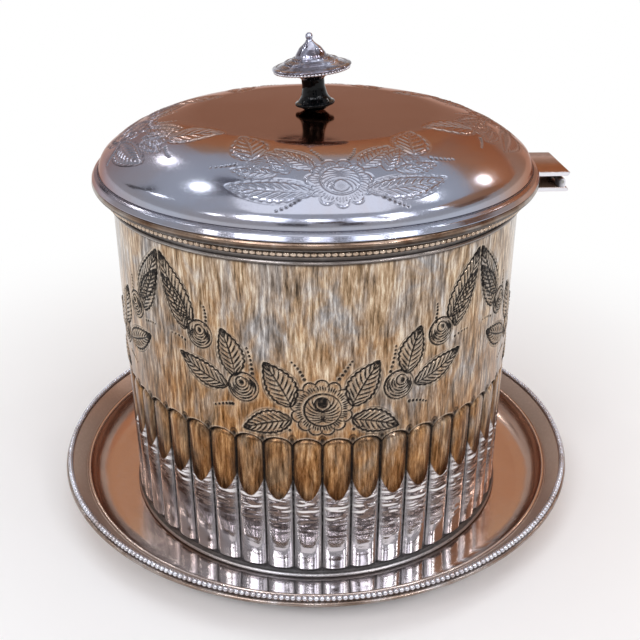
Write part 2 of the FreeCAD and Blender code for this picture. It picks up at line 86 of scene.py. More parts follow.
class Board:
    """A flat board that holds engraved lines and raised forms, to be laid on a curved sheet.

    Its layers say how deeply each place is cut, how far it is raised and how deeply it is punched,
    on points a fifth of a millimetre apart.
    """

    step = 0.20

    def __init__(self, left, right, low, high):
        self.corner = np.array([left, low])
        self.across = np.arange(left, right + self.step, self.step)
        self.up = np.arange(low, high + self.step, self.step)
        self.cut = np.zeros((len(self.up), len(self.across)))
        self.raised = np.zeros_like(self.cut)
        self.pits = np.zeros_like(self.cut)

    def patch(self, points, reach):
        """The part of the board within reach of the points: its slices and its coordinates."""
        low = np.floor((np.min(points, axis=0) - reach - self.corner) / self.step).astype(int)
        high = np.ceil((np.max(points, axis=0) + reach - self.corner) / self.step).astype(int) + 1
        low = np.clip(low, 0, [len(self.across), len(self.up)])
        high = np.clip(high, 0, [len(self.across), len(self.up)])
        part = (slice(low[1], high[1]), slice(low[0], high[0]))
        u, v = np.meshgrid(self.across[part[1]], self.up[part[0]])
        return part, u, v

    def line(self, points, width=0.50, depth=1.0, taper=0.45):
        """A graver's stroke: deepest and widest in the middle, and thin where it enters and leaves."""
        points = np.asarray(points, float)
        last = len(points) - 1
        for index in range(last):
            start, end = points[index], points[index + 1]
            part, u, v = self.patch(points[index:index + 2], width + self.step)
            if u.size == 0:
                continue
            run = end - start
            share = ((u - start[0]) * run[0] + (v - start[1]) * run[1]) / max(run @ run, 1e-9)
            share = np.clip(share, 0, 1)
            away = np.hypot(u - start[0] - share * run[0], v - start[1] - share * run[1])
            swell = 1 - taper + taper * np.sin(math.pi * (index + share) / last)
            groove = np.clip(1 - (away / (width * swell)) ** 2, 0, 1) * depth * swell
            self.cut[part] = np.maximum(self.cut[part], groove)

    def pit(self, centre, radius):
        """One blow of a round punch."""
        part, u, v = self.patch(np.array([centre, centre]), radius * 1.6)
        away = np.hypot(u - centre[0], v - centre[1]) / radius
        hollow = np.clip(1 - away ** 2, 0, 1)
        self.cut[part] = np.maximum(self.cut[part], hollow)
        self.pits[part] = np.maximum(self.pits[part], hollow)

    def boss(self, centre, radius, height):
        """A low round swelling."""
        part, u, v = self.patch(np.array([centre, centre]), radius)
        away = np.hypot(u - centre[0], v - centre[1]) / radius
        swelling = np.sqrt(np.clip(1 - away ** 2, 0, 1)) * height
        self.raised[part] = np.maximum(self.raised[part], swelling)

    def dots(self, start, end, count=6, radius=0.80):
        """A slightly bent row of punched dots that grow towards its end."""
        for index in range(count):
            share = index / (count - 1)
            sway = 0.35 * math.sin(math.pi * share)
            centre = (start[0] + (end[0] - start[0]) * share + sway,
                      start[1] + (end[1] - start[1]) * share + sway)
            self.pit(centre, radius * (0.72 + 0.4 * share))

    def leaf(self, base, tip, width, veins, bend):
        """A toothed leaf with a midrib, side veins, a rounded body and a fine line outside it."""
        base, tip = np.array(base, float), np.array(tip, float)
        axis = tip - base
        length = math.hypot(*axis)
        along = axis / length
        side = np.array([-along[1], along[0]])

        def half(t):
            """Half the leaf's width at a share of its length: widest somewhat nearer the base."""
            return width / 2 * np.sin(math.pi * np.clip(t, 0, 1) ** 0.78) ** 0.85

        def at(t, s):
            """Places at shares of the leaf's length, s millimetres to the side of its bent midrib."""
            t, s = np.broadcast_arrays(t, s)
            middle = base + np.outer(t, axis) + np.outer(4 * bend * t * (1 - t), side)
            return middle + np.outer(s, side)

        part, u, v = self.patch(np.array([base, tip]), width / 2 + abs(bend) + 0.5)
        t = ((u - base[0]) * along[0] + (v - base[1]) * along[1]) / length
        s = (u - base[0]) * side[0] + (v - base[1]) * side[1] - 4 * bend * t * (1 - t)
        inside = (t > 0) & (t < 1)
        share = np.where(inside, np.abs(s) / np.maximum(half(t), 0.05), 2)
        body = np.clip(1 - share ** 2, 0, 1) ** 0.6 * (0.55 + 0.45 * np.clip(share * 2.2, 0, 1))
        self.raised[part] = np.maximum(self.raised[part], body)
        self.line(at(np.linspace(0.02, 0.99, 12), 0.0), 0.48, 0.95)
        for hand in (-1, 1):
            ts = np.linspace(0.04, 0.98, 14)
            self.line(at(ts, hand * (half(ts) * 1.1 + 1.15)), 0.36, 0.44)
            for index in range(veins):
                # Each vein ends at a tooth of the leaf's edge
                first, last = index / veins, (index + 1) / veins
                ts = np.linspace(first, min(last + 0.01, 1), 7)
                swell = np.clip(np.sin(math.pi * (ts - first) / (last - first)), 0, 1) ** 0.8
                self.line(at(ts, hand * half(ts) * (1 + 0.16 * swell)), 0.60, 1.0, 0.30)
                start = first + 0.3 / veins
                ts = np.linspace(start, min(start + 0.9 / veins + 0.06, 0.985), 6)
                reach = np.linspace(0.06, 0.84, 6) ** 0.85
                self.line(at(ts, hand * half(ts) * reach), 0.47)

    def arc(self, centre, radius, start, end, width, depth=1.0):
        """Part of a ring, between two angles in degrees."""
        angles = np.radians(np.linspace(start, end, max(6, int(abs(end - start) / 14))))
        self.line(np.stack([centre[0] + radius * np.cos(angles), centre[1] + radius * np.sin(angles)],
                           axis=1), width, depth)

    def rosebud(self, centre, radius, facing):
        """A half-open bud: an eye to one side, and petals in crescents round it."""
        eye = polar(centre, 0.38 * radius, math.radians(facing))
        self.boss(centre, radius, 1.1)
        self.boss(eye, radius * 0.34, 1.5)
        self.arc(centre, radius, 0, 360, 0.5)
        self.arc(eye, radius * 0.36, 0, 360, 0.45)
        self.arc(eye, radius * 0.16, facing - 200, facing + 60, 0.4, 0.9)
        self.pit(eye, radius * 0.13)
        for ring in range(1, 5):
            share = ring / 5
            middle = (eye[0] + (centre[0] - eye[0]) * share, eye[1] + (centre[1] - eye[1]) * share)
            size = radius * (0.36 + 0.60 * share)
            for petal in range(3):
                start = facing + 70 + petal * 74 + 24 * (ring % 2)
                self.arc(middle, size, start, start + 68, 0.50)

    def rose(self, centre, radius, petals):
        """The open flower: a scalloped rim, hatched petals, and a swirled heart under a round eye."""
        self.boss(centre, radius, 0.8)
        step = 360 / petals
        for petal in range(petals):
            facing = 90 + petal * step
            turn = math.radians(facing)
            self.arc(polar(centre, radius * 0.80, turn), radius * 0.225, facing - 98, facing + 98, 0.44)
            for hatch in (-1.2, -0.4, 0.4, 1.2):
                lean = turn + math.radians(hatch * step * 0.27)
                far = radius * (0.88 - 0.05 * abs(hatch))
                self.line([polar(centre, radius * 0.66, lean), polar(centre, far, lean + 0.03)],
                          0.42, 0.9)
        heart = (centre[0] + radius * 0.03, centre[1] - radius * 0.05)
        self.boss(heart, radius * 0.59, 1.25)
        self.arc(heart, radius * 0.60, 0, 360, 0.55)
        inner = radius * 0.56
        for hand in (-1, 1):
            for index in range(7):
                start = math.radians(90 + hand * (38 + index * 19))
                swing = start + hand * math.radians(34)
                ends = np.array([polar((0, 0), inner * 0.98, start), polar((0, 0), inner * 0.72, swing),
                                 (hand * inner * 0.10, -inner * (0.05 + 0.09 * index))])
                t = np.linspace(0, 1, 8)[:, None]
                curve = ends[0] * (1 - t) ** 2 + 2 * ends[1] * t * (1 - t) + ends[2] * t ** 2
                self.line(curve + heart, 0.42)
        eye = (heart[0] - radius * 0.01, heart[1] + radius * 0.22)
        self.boss(eye, radius * 0.23, 2.0)
        self.arc(eye, radius * 0.24, 0, 360, 0.6)
        self.pit((eye[0], eye[1] + radius * 0.05), radius * 0.22)

    def spread(self, layer, reach):
        """The layer blurred by reach on every side."""
        u = np.fft.rfftfreq(layer.shape[1], self.step)
        v = np.fft.fftfreq(layer.shape[0], self.step)[:, None]
        soft = np.exp(-2 * (math.pi * reach) ** 2 * (u ** 2 + v ** 2))
        return np.fft.irfft2(np.fft.rfft2(layer) * soft, s=layer.shape)

    def read(self, layer, u, v):
        """The layer's value at each place, smoothly between the board's own points, and 0 off it."""
        x = (u - self.corner[0]) / self.step
        y = (v - self.corner[1]) / self.step
        rows, columns = layer.shape
        off = (x < 0) | (y < 0) | (x > columns - 2) | (y > rows - 2)
        x, y = np.clip(x, 0, columns - 2.001), np.clip(y, 0, rows - 2.001)
        i, j = y.astype(int), x.astype(int)
        fy, fx = y - i, x - j
        value = (layer[i, j] * (1 - fy) * (1 - fx) + layer[i, j + 1] * (1 - fy) * fx
                 + layer[i + 1, j] * fy * (1 - fx) + layer[i + 1, j + 1] * fy * fx)
        return np.where(off, 0, value)


def garland(board, leaves, buds, dots):
    """Draws the same leaves, buds and rows of dots on the right and on the left of the board."""
    for hand in (-1, 1):
        for base, tip, width, veins, bend in leaves:
            board.leaf((hand * base[0], base[1]), (hand * tip[0], tip[1]), width, veins, hand * bend)
        for place, radius, lean in buds:
            board.rosebud((hand * place[0], place[1]), radius, 90 + hand * lean)
        for start, end, *size in dots:
            board.dots((hand * start[0], start[1]), (hand * end[0], end[1]), *size)


def drum_swag():
    """Roses and leaves that hang between two knots of the drum, and rise to them in long leaves."""
    board = Board(-66, 66, 62, 141)
    board.rose((0.0, 79.6), 11.4, 13)
    leaves = [((49.5, 109.0), (64.6, 132.5), 9.0, 12, -1.2), ((53.0, 104.5), (64.0, 124.5), 7.4, 10, 1.0),
              ((32.0, 90.5), (37.2, 108.6), 8.8, 9, 0.8), ((35.5, 85.5), (56.4, 94.6), 7.8, 10, -1.0),
              ((11.0, 80.2), (21.0, 97.6), 9.8, 9, 0.6), ((11.2, 74.6), (29.6, 68.8), 8.4, 9, 0.8)]
    buds = [((29.0, 86.3), 5.9, -18), ((46.4, 104.2), 5.5, 8)]
    dots = [((43.9, 115.6), (43.5, 108.6)), ((27.2, 102.4), (25.4, 92.4), 7),
            ((10.8, 98.4), (6.3, 91.6)), ((60.2, 101.0), (53.6, 100.0), 5, 0.66),
            ((41.0, 76.2), (33.6, 78.2)), ((14.8, 71.0), (11.8, 70.0), 3, 0.66)]
    garland(board, leaves, buds, dots)
    return board


def lid_spray():
    """A rose between long leaves, with buds that stand towards the finial."""
    board = Board(-50, 50, 26, 90)
    board.rose(SPRAY_ROSE, 11.2, 11)
    leaves = [((9.0, 79.0), (38.0, 69.0), 7.8, 10, 1.8), ((8.0, 67.5), (20.0, 53.0), 7.4, 8, 0.8),
              ((17.0, 69.0), (24.0, 54.5), 5.2, 7, -0.6), ((20.5, 68.5), (36.0, 61.5), 5.0, 7, 0.6),
              ((28.4, 58.5), (31.0, 37.0), 11.0, 6, -0.8)]
    dots = [((42.6, 57.8), (34.4, 59.4)), ((22.0, 84.8), (14.4, 81.6)),
            ((7.6, 56.0), (4.6, 63.0)), ((14.0, 56.8), (10.4, 60.6), 4, 0.5)]
    garland(board, leaves, [((27.2, 61.5), 3.4, 0)], dots)
    return board


# ---------------------------------------------------------------- meshes

def placed(name, data):
    """A new object in the scene that shows a mesh, a lamp or a camera."""
    made = bpy.data.objects.new(name, data)
    bpy.context.scene.collection.objects.link(made)
    return made


def marked(mesh, field, values):
    """Gives each point of a mesh a value that its finish reads by name."""
    layer = mesh.attributes.new(field, "FLOAT", "POINT")
    layer.data.foreach_set("value", np.asarray(values, np.float32).ravel())


def woven(name, points, marks, closed_rows=False):
    """A smooth piece over points[row, column], with its marks. Its last column joins its first."""
    rows, columns = points.shape[:2]
    index = np.arange(rows * columns).reshape(rows, columns)
    above = np.roll(index, -1, axis=0)
    if not closed_rows:
        index, above = index[:-1], above[:-1]
    quads = np.stack([index, np.roll(index, -1, axis=1), np.roll(above, -1, axis=1), above], axis=-1)
    mesh = bpy.data.meshes.new(name)
    mesh.vertices.add(rows * columns)
    mesh.vertices.foreach_set("co", (points * MM).astype(np.float32).ravel())
    mesh.loops.add(quads.size)
    mesh.loops.foreach_set("vertex_index", quads.astype(np.int32).ravel())
    mesh.polygons.add(quads.size // 4)
    mesh.polygons.foreach_set("loop_start", np.arange(0, quads.size, 4, dtype=np.int32))
    mesh.update(calc_edges=True)
    mesh.shade_smooth()
    for field, values in marks.items():
        marked(mesh, field, values)
    return placed(name, mesh)


def fitted(piece, body, slot, finish, *nodes):
    """Gives a piece its finish, sets it on its body, and lets it stand for CAD nodes."""
    piece.data.materials.clear()
    piece.data.materials.append(finish)
    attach(piece, body)
    if nodes:
        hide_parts(*nodes)


def softened(corners):
    """A closed outline through corners (radius, height, rounding), each eased by its rounding.

    A corner with no rounding given is eased by 0.08 mm, and one with 0 stays a point.
    """
    points = []
    for index, corner in enumerate(corners):
        here = np.array(corner[:2], float)
        ease = corner[2] if len(corner) > 2 else 0.08
        before = np.array(corners[index - 1][:2], float) - here
        after = np.array(corners[(index + 1) % len(corners)][:2], float) - here
        space = min(math.hypot(*before), math.hypot(*after))
        before, after = before / math.hypot(*before), after / math.hypot(*after)
        bend = math.acos(max(-1.0, min(1.0, float(before @ after))))
        if ease == 0 or math.pi - bend < 0.01:
            points.append(here)
            continue
        # No rounding takes up more than half of the shorter side beside it
        back = min(ease / math.tan(bend / 2), space * 0.49)
        radius = back * math.tan(bend / 2)
        middle = here + (before + after) / math.hypot(*(before + after)) * radius / math.sin(bend / 2)
        first, last = here + before * back - middle, here + after * back - middle
        sweep = math.pi - bend
        turn = 1 if first[0] * last[1] - first[1] * last[0] > 0 else -1
        steps = max(3, int(math.degrees(sweep) / 14))
        # A ring of points close beside each rounding keeps the flats next to it flat
        support = min(back * 0.35, space * 0.01 + 0.05)
        points.append(here + before * (back + support))
        for step in range(steps + 1):
            angle = turn * sweep * step / steps
            cos, sin = math.cos(angle), math.sin(angle)
            points.append(middle + np.array([first[0] * cos - first[1] * sin,
                                             first[0] * sin + first[1] * cos]))
        points.append(here + after * (back + support))
    return np.array(points)


def turned(name, corners, columns, dark=()):
    """A piece spun round the axis from a closed outline.

    Each dark is (radius, height, reach, depth): a place darkened on the outline. Some are sulphide left
    in a hollow, others painted shade in a gap or under a neighbouring part.
    """
    outline = softened(corners)
    after = np.roll(outline, -1, axis=0)
    if np.sum(outline[:, 0] * after[:, 1] - after[:, 0] * outline[:, 1]) < 0:
        outline = outline[::-1]
    angles = np.arange(columns) * TURN / columns
    points = np.stack([outline[:, 0, None] * np.cos(angles), outline[:, 0, None] * np.sin(angles),
                       np.repeat(outline[:, 1, None], columns, axis=1)], axis=-1)
    mark = np.zeros(len(outline))
    for r, z, reach, depth in dark:
        away = np.hypot(outline[:, 0] - r, outline[:, 1] - z) / reach
        mark = np.maximum(mark, depth * np.exp(-away ** 2))
    piece = woven(name, points, {"tarnish_and_shade": np.repeat(mark[:, None], columns, axis=1)},
                  closed_rows=True)
    piece.data.set_sharp_from_angle(angle=math.radians(50))
    return piece


def beaded(name, ring, height, bead, count):
    """A beaded wire: round beads that touch at narrow, dark necks, bent to a ring."""
    # Each bead has ten columns of twelve points
    along, around = 10, 12
    turn = np.arange(count * along) * TURN / (count * along)
    share = (np.arange(count * along) % along) / along * 2 - 1
    size = bead * np.sqrt(np.clip(1 - 0.86 * share ** 2, 0.05, 1))
    section = np.arange(around) * TURN / around
    out = ring + np.outer(np.cos(section), size)
    up = height + np.outer(np.sin(section), size)
    points = np.stack([out * np.cos(turn), out * np.sin(turn), up], axis=-1)
    neck = np.clip((0.74 - size / bead) / 0.34, 0, 1)
    return woven(name, points, {"tarnish_and_shade": np.tile(neck, (around, 1))}, closed_rows=True)


def prism(outline, start, end, ease):
    """The points and faces of a bar along Y with an (x, z) outline and ends eased by ease."""
    outline = np.asarray(outline, float)
    run = np.roll(outline, -1, axis=0) - np.roll(outline, 1, axis=0)
    inward = np.stack([-run[:, 1], run[:, 0]], axis=1)
    inward /= np.maximum(np.hypot(*inward.T), 1e-6)[:, None]
    if np.sum((outline - outline.mean(axis=0)) * inward) > 0:
        inward = -inward
    points, count = [], len(outline)
    for y, inset in ((start, ease), (start + 0.3 * ease, 0.3 * ease), (start + ease, 0),
                     (end - ease, 0), (end - 0.3 * ease, 0.3 * ease), (end, ease)):
        points += [(x, y, z) for x, z in outline + inward * inset]
    faces = [(row + k, row + (k + 1) % count, row + count + (k + 1) % count, row + count + k)
             for row in range(0, 5 * count, count) for k in range(count)]
    faces += [tuple(range(count))[::-1], tuple(range(5 * count, 6 * count))]
    return points, faces


def bundled(name, parts, mark):
    """One piece from several sets of points and faces, darkened where mark(x, y, z) says."""
    points, faces = [], []
    for part_points, part_faces in parts:
        faces += [tuple(index + len(points) for index in face) for face in part_faces]
        points += part_points
    mesh = bpy.data.meshes.new(name)
    mesh.from_pydata([tuple(value * MM for value in point) for point in points], [], faces)
    marked(mesh, "tarnish_and_shade", [mark(*point) for point in points])
    shape = bmesh.new()
    shape.from_mesh(mesh)
    bmesh.ops.recalc_face_normals(shape, faces=shape.faces)
    shape.to_mesh(mesh)
    shape.free()
    mesh.shade_smooth()
    mesh.set_sharp_from_angle(angle=math.radians(32))
    return placed(name, mesh)


def leaned(piece):
    """Tips a piece of the finial over with its stem, about its seat on the lid."""
    seat = Matrix.Translation(Vector((0, 0, CROWN_TOP * MM)))
    piece.data.transform(seat @ Matrix.Rotation(-FINIAL_LEAN, 4, "Y") @ seat.inverted())
    return piece


# ---------------------------------------------------------------- finishes

def linear(colour):
    """An sRGB hex colour as linear red, green, blue and alpha."""
    parts = [int(colour[i:i + 2], 16) / 255 for i in (1, 3, 5)]
    return [p / 12.92 if p <= 0.04045 else ((p + 0.055) / 1.055) ** 2.4 for p in parts] + [1.0]


def feed(node, sockets):
    """Sets sockets of a node, or links them to a socket or to another node's first output in use."""
    for name, value in sockets.items():
        if isinstance(value, bpy.types.Node):
            value = next(output for output in value.outputs if output.enabled)
        if isinstance(value, bpy.types.NodeSocket):
            node.id_data.links.new(value, node.inputs[name])
        else:
            node.inputs[name].default_value = value


def add(tree, kind, sockets=None, stops=None, **settings):
    """Adds a node, sets its properties, feeds its sockets, and sets the stops of a ramp."""
    made = tree.nodes.new(kind)
    for name, value in settings.items():
        setattr(made, name, value)
    feed(made, sockets or {})
    if stops:
        ramp = made.color_ramp.elements
        while len(ramp) < len(stops):
            ramp.new(0.5)
        for element, (place, colour) in zip(ramp, stops):
            element.position = place
            element.color = linear(colour)
    return made


def begun(name):
    """A new material with its node tree, its shader and the piece's own coordinates."""
    finish = bpy.data.materials.new(name)
    finish.use_nodes = True
    tree = finish.node_tree
    return finish, tree, tree.nodes["Principled BSDF"], add(tree, "ShaderNodeTexCoord").outputs["Object"]


def from_axis(tree, place):
    """How far a place is from the axis of the box."""
    flat = add(tree, "ShaderNodeVectorMath", {0: place, 1: (1.0, 1.0, 0.0)}, operation="MULTIPLY")
    return add(tree, "ShaderNodeVectorMath", {0: flat}, operation="LENGTH")


def wavering(tree, place, scale, strength, detail=1.0):
    """The normal of thin sheet, which is never quite flat, so that its reflections waver."""
    sheet = add(tree, "ShaderNodeTexNoise", {"Vector": place, "Scale": scale, "Detail": detail})
    return add(tree, "ShaderNodeBump", {"Height": sheet, "Strength": strength, "Distance": 0.001})


def wiped(tree, place, scale, gloss, over=(0.35, 0.68), detail=3.0):
    """Roughness between two values, in the fine marks of a polishing cloth."""
    marks = add(tree, "ShaderNodeTexNoise", {"Vector": place, "Scale": scale, "Detail": detail})
    return add(tree, "ShaderNodeMapRange", {"Value": marks, "From Min": over[0], "From Max": over[1],
                                            "To Min": gloss[0], "To Max": gloss[1]})


def aged(tree, shader, place, tone, gloss, normal, edge="#ffffff"):
    """Ends a silver finish: in the marked places lie black and dull sulphide, old polish and painted
    shade.

    The edge colour is what a thin film of sulphide leaves of a reflection at a grazing angle.
    """
    # The mark holds sulphide in hollows, and painted shade in gaps, under parts and at feet
    mark = add(tree, "ShaderNodeAttribute", attribute_name="tarnish_and_shade").outputs["Fac"]
    # Rubbing has broken up the black in specks of about 1 mm
    speck = add(tree, "ShaderNodeTexNoise", {"Vector": place, "Scale": 900.0, "Detail": 3.0})
    lightened = add(tree, "ShaderNodeMapRange", {"Value": speck, "From Min": 0.32, "From Max": 0.52,
                                              "To Min": 0.85, "To Max": 1.0})
    black = add(tree, "ShaderNodeMath", {0: mark, 1: lightened}, operation="MULTIPLY", use_clamp=True)
    colour = add(tree, "ShaderNodeMix", {0: black, 6: tone, 7: linear("#120d0b")}, data_type="RGBA")
    metal = add(tree, "ShaderNodeMapRange", {"Value": black, "To Min": 1.0, "To Max": 0.1})
    dull = add(tree, "ShaderNodeMix", {0: black, 2: gloss, 3: 0.55})
    feed(shader, {"Base Color": colour, "Metallic": metal, "Roughness": dull, "Normal": normal,
                  "Specular IOR Level": 0.15, "Specular Tint": linear(edge)})


def plated(name, tones, patch, shine=(0.07, 0.18), bumps=0.10, reach=20.0):
    """Electroplated silver or another fine metal, polished by hand for many years.

    Its tones, bright, toned and deep, lie in clouds of patch millimetres. Wipe marks 2.4 mm across
    soften the gloss between the two roughnesses of shine, and the surface wavers over reach
    millimetres.
    """
    bright, tinted, deep = tones
    finish, tree, shader, place = begun(name)
    cloud = add(tree, "ShaderNodeTexNoise", {"Vector": place, "Scale": 1000 / patch, "Detail": 5.0,
                                             "Roughness": 0.62, "Distortion": 0.6})
    tone = add(tree, "ShaderNodeValToRGB", {"Fac": cloud}, [(0.30, deep), (0.47, tinted), (0.66, bright)])
    aged(tree, shader, place, tone, wiped(tree, place, 420.0, shine),
         wavering(tree, place, 1000 / reach, bumps))
    return finish


def tray_plate():
    """Dished silver plate of the tray, also on the drum's base wire.

    It is silver in front, with a painted warm reflection at the sides and behind.
    """
    finish, tree, shader, place = begun("dished silver plate of the tray")
    # The painted warm reflection ends in an uneven line, in clouds of 42 mm
    cloud = add(tree, "ShaderNodeTexNoise", {"Vector": place, "Scale": 24.0, "Detail": 5.0,
                                             "Roughness": 0.6, "Distortion": 0.4})
    lay = add(tree, "ShaderNodeSeparateXYZ", {"Vector": place}).outputs["Y"]
    uneven = add(tree, "ShaderNodeMath", {0: cloud, 1: 0.05, 2: lay}, operation="MULTIPLY_ADD")
    share = add(tree, "ShaderNodeMapRange", {"Value": uneven, "From Min": -0.062, "From Max": -0.010})
    tone = add(tree, "ShaderNodeValToRGB", {"Fac": share},
               [(0.0, "#cdcacb"), (0.45, "#c6b7af"), (1.0, "#c4a797")])
    # Wipe marks 2.4 mm across. The sides and the back of the well are satin from use
    gloss = add(tree, "ShaderNodeMix", {0: share, 2: wiped(tree, place, 420.0, (0.08, 0.17)),
                                        3: wiped(tree, place, 420.0, (0.19, 0.25))})
    # The sloping rim band is painted brighter, as a painted reflection
    band = add(tree, "ShaderNodeMapRange", {"Value": from_axis(tree, place), "From Min": 0.1035,
                                            "From Max": 0.1055, "To Max": 0.45})
    lightened = add(tree, "ShaderNodeMix", {0: band, 6: tone, 7: linear("#eed2bf")}, data_type="RGBA")
    # The beaten sheet wavers over 21 mm
    aged(tree, shader, place, lightened, gloss, wavering(tree, place, 48.0, 0.55), "#e8d2c8")
    return finish


def drum_plate():
    """Drawn silver plate of the drum.

    Above, a painted reflection of warm surroundings lies in short upright streaks, tan beside grey,
    browner towards the flutes. Low on the flutes, below where that painted reflection ends, the plate
    is silver.
    """
    finish, tree, shader, place = begun("streaked silver plate with painted reflections")
    # Painted reflection in streaks about 1.3 mm wide and 11 mm long, in clouds about 15 mm wide and 38 mm
    # tall
    upright = add(tree, "ShaderNodeMapping", {"Vector": place, "Scale": (1.0, 1.0, 0.12)})
    tall = add(tree, "ShaderNodeMapping", {"Vector": place, "Scale": (1.0, 1.0, 0.40)})
    streak = add(tree, "ShaderNodeTexNoise", {"Vector": upright, "Scale": 760.0, "Detail": 4.0,
                                              "Roughness": 0.72, "Distortion": 0.12})
    cloud = add(tree, "ShaderNodeTexNoise", {"Vector": tall, "Scale": 66.0, "Detail": 5.0,
                                             "Roughness": 0.62, "Distortion": 1.0})
    warm = add(tree, "ShaderNodeValToRGB", {"Fac": streak},
               [(0.31, "#4c3d2d"), (0.43, "#94795d"), (0.53, "#bda185"), (0.66, "#efddc3")])
    cool = add(tree, "ShaderNodeValToRGB", {"Fac": streak},
               [(0.31, "#464240"), (0.43, "#807a77"), (0.54, "#a8a2a0"), (0.66, "#dcd7d4")])
    share = add(tree, "ShaderNodeMapRange", {"Value": cloud, "From Min": 0.42, "From Max": 0.62})
    tone = add(tree, "ShaderNodeMix", {0: share, 6: warm, 7: cool}, data_type="RGBA")
    # The height above the foot sets how brown the painted reflection is, less so to the right, and
    # blots about 7 mm wide and 17 mm tall break that up
    blot = add(tree, "ShaderNodeTexNoise", {"Vector": tall, "Scale": 150.0, "Detail": 4.0,
                                            "Roughness": 0.65, "Distortion": 0.8})
    tilt = add(tree, "ShaderNodeVectorMath", {0: place, 1: (0.12, 0.0, 1.0)}, operation="DOT_PRODUCT")
    level = add(tree, "ShaderNodeMath", {0: blot, 1: 0.150, 2: tilt}, operation="MULTIPLY_ADD")
    rise = add(tree, "ShaderNodeMapRange", {"Value": level, "From Min": 0.090, "From Max": 0.210})
    brown = add(tree, "ShaderNodeValToRGB", {"Fac": rise},
                [(0.04, "#a08061"), (0.18, "#c2a07c"), (0.36, "#ddbd97"), (0.60, "#efdfcd"),
                 (0.82, "#ffffff")])
    with_brown_reflection = add(tree, "ShaderNodeMix", {0: 1.0, 6: tone, 7: brown}, data_type="RGBA",
                  blend_type="MULTIPLY")
    # The lips of the strokes and the ridges of the arches are worn pale and carry a painted highlight,
    # and the burr on the upper left of each stroke is a painted highlight
    wear_and_highlight = add(tree, "ShaderNodeAttribute", attribute_name="wear_and_highlight").outputs["Fac"]
    high = add(tree, "ShaderNodeMix", {0: wear_and_highlight, 6: with_brown_reflection, 7: linear("#d8c8b4")}, data_type="RGBA")
    # Below the painted warm reflection the plate is darker towards the foot
    below_painted_reflection = add(tree, "ShaderNodeAttribute", attribute_name="below_painted_reflection").outputs["Fac"]
    foot = add(tree, "ShaderNodeMapRange", {"Value": tilt, "From Min": 0.008, "From Max": 0.030})
    silver = add(tree, "ShaderNodeValToRGB", {"Fac": foot}, [(0.0, "#c0bbbd"), (1.0, "#e6e1e1")])
    plain = add(tree, "ShaderNodeMix", {0: below_painted_reflection, 6: high, 7: silver}, data_type="RGBA")
    gloss = add(tree, "ShaderNodeMapRange", {"Value": below_painted_reflection, "To Min": 0.18, "To Max": 0.10})
    # The plate is raised along its streaks. Below the painted warm reflection it waves in ripples about
    # 11 mm wide and 3 mm tall, most of all just below where that reflection ends
    lying = add(tree, "ShaderNodeMapping", {"Vector": place, "Scale": (1.0, 1.0, 4.0)})
    wave = add(tree, "ShaderNodeTexNoise", {"Vector": lying, "Scale": 90.0, "Detail": 1.0})
    relief = add(tree, "ShaderNodeMix", {0: below_painted_reflection, 2: streak, 3: wave})
    depth = add(tree, "ShaderNodeMapRange", {"Value": tilt, "From Min": 0.018, "From Max": 0.034,
                                             "To Min": 0.00010, "To Max": 0.00125})
    reach = add(tree, "ShaderNodeMix", {0: below_painted_reflection, 2: 0.000026, 3: depth})
    ripple = add(tree, "ShaderNodeBump", {"Height": relief, "Strength": 1.0, "Distance": reach})
    aged(tree, shader, place, plain, gloss, ripple)
    return finish


def lid_plate():
    """Stamped and burnished silver plate of the lid.

    The shoulder is cool and bright silver towards the front. The flat crown, and the side towards the
    hinge and the back, carry a painted warm reflection of coppery brown.
    """
    finish, tree, shader, place = begun("burnished silver plate toned towards the hinge")
    # The painted warm reflection ends in clouds of 38 mm
    cloud = add(tree, "ShaderNodeTexNoise", {"Vector": place, "Scale": 26.0, "Detail": 5.0,
                                             "Roughness": 0.6, "Distortion": 0.5})
    lay = add(tree, "ShaderNodeVectorMath", {0: place, 1: (8.0, 5.2, 0.0)}, operation="DOT_PRODUCT")
    crown = add(tree, "ShaderNodeMapRange", {"Value": from_axis(tree, place), "From Min": 0.046,
                                             "From Max": 0.068, "To Min": 0.62, "To Max": 0.0})
    side = add(tree, "ShaderNodeMath", {0: crown, 1: lay}, operation="MAXIMUM")
    edge = add(tree, "ShaderNodeMath", {0: cloud, 1: 0.45, 2: side}, operation="MULTIPLY_ADD")
    tinted = add(tree, "ShaderNodeValToRGB", {"Fac": edge},
                [(0.20, "#a6abba"), (0.32, "#a5a2aa"), (0.44, "#b19c93"), (0.66, "#b49c91"),
                 (0.94, "#a78e83")])
    # Fine wiping leaves a slight haze on the shoulder, in specks of half a millimetre
    haze = wiped(tree, place, 1900.0, (0.11, 0.19), (0.40, 0.62), 2.0)
    gloss = add(tree, "ShaderNodeMix", {0: crown, 2: haze, 3: 0.06})
    # The stamped sheet wavers gently over 25 mm
    aged(tree, shader, place, tinted, gloss, wavering(tree, place, 40.0, 0.12, 0.0), "#d0a99a")
    return finish


def hinge_plate():
    """Cast and plated hinge: its flat tops painted coppery as a warm reflection, its other faces painted
    pale as a highlight.
    """
    finish, tree, shader, place = begun("cast and plated hinge")
    facing = add(tree, "ShaderNodeTexCoord").outputs["Normal"]
    upward = add(tree, "ShaderNodeSeparateXYZ", {"Vector": facing}).outputs["Z"]
    # The casting's skin and its painted reflection vary over 8 mm, and wipe marks are 2 mm across
    cloud = add(tree, "ShaderNodeTexNoise", {"Vector": place, "Scale": 120.0, "Detail": 4.0})
    # Faces that point up get the coppery painted reflection, the others the pale painted highlight
    amount = add(tree, "ShaderNodeMath", {0: cloud, 1: 0.3, 2: upward}, operation="MULTIPLY_ADD")
    tone = add(tree, "ShaderNodeValToRGB", {"Fac": amount},
               [(0.30, "#e8e6ec"), (0.75, "#bd9c88"), (1.0, "#ad8a74")])
    skin = add(tree, "ShaderNodeBump", {"Height": cloud, "Strength": 0.1, "Distance": 0.0005})
    aged(tree, shader, place, tone, wiped(tree, place, 500.0, (0.12, 0.28), (0.0, 1.0)), skin,
         "#e2cbc4")
    return finish


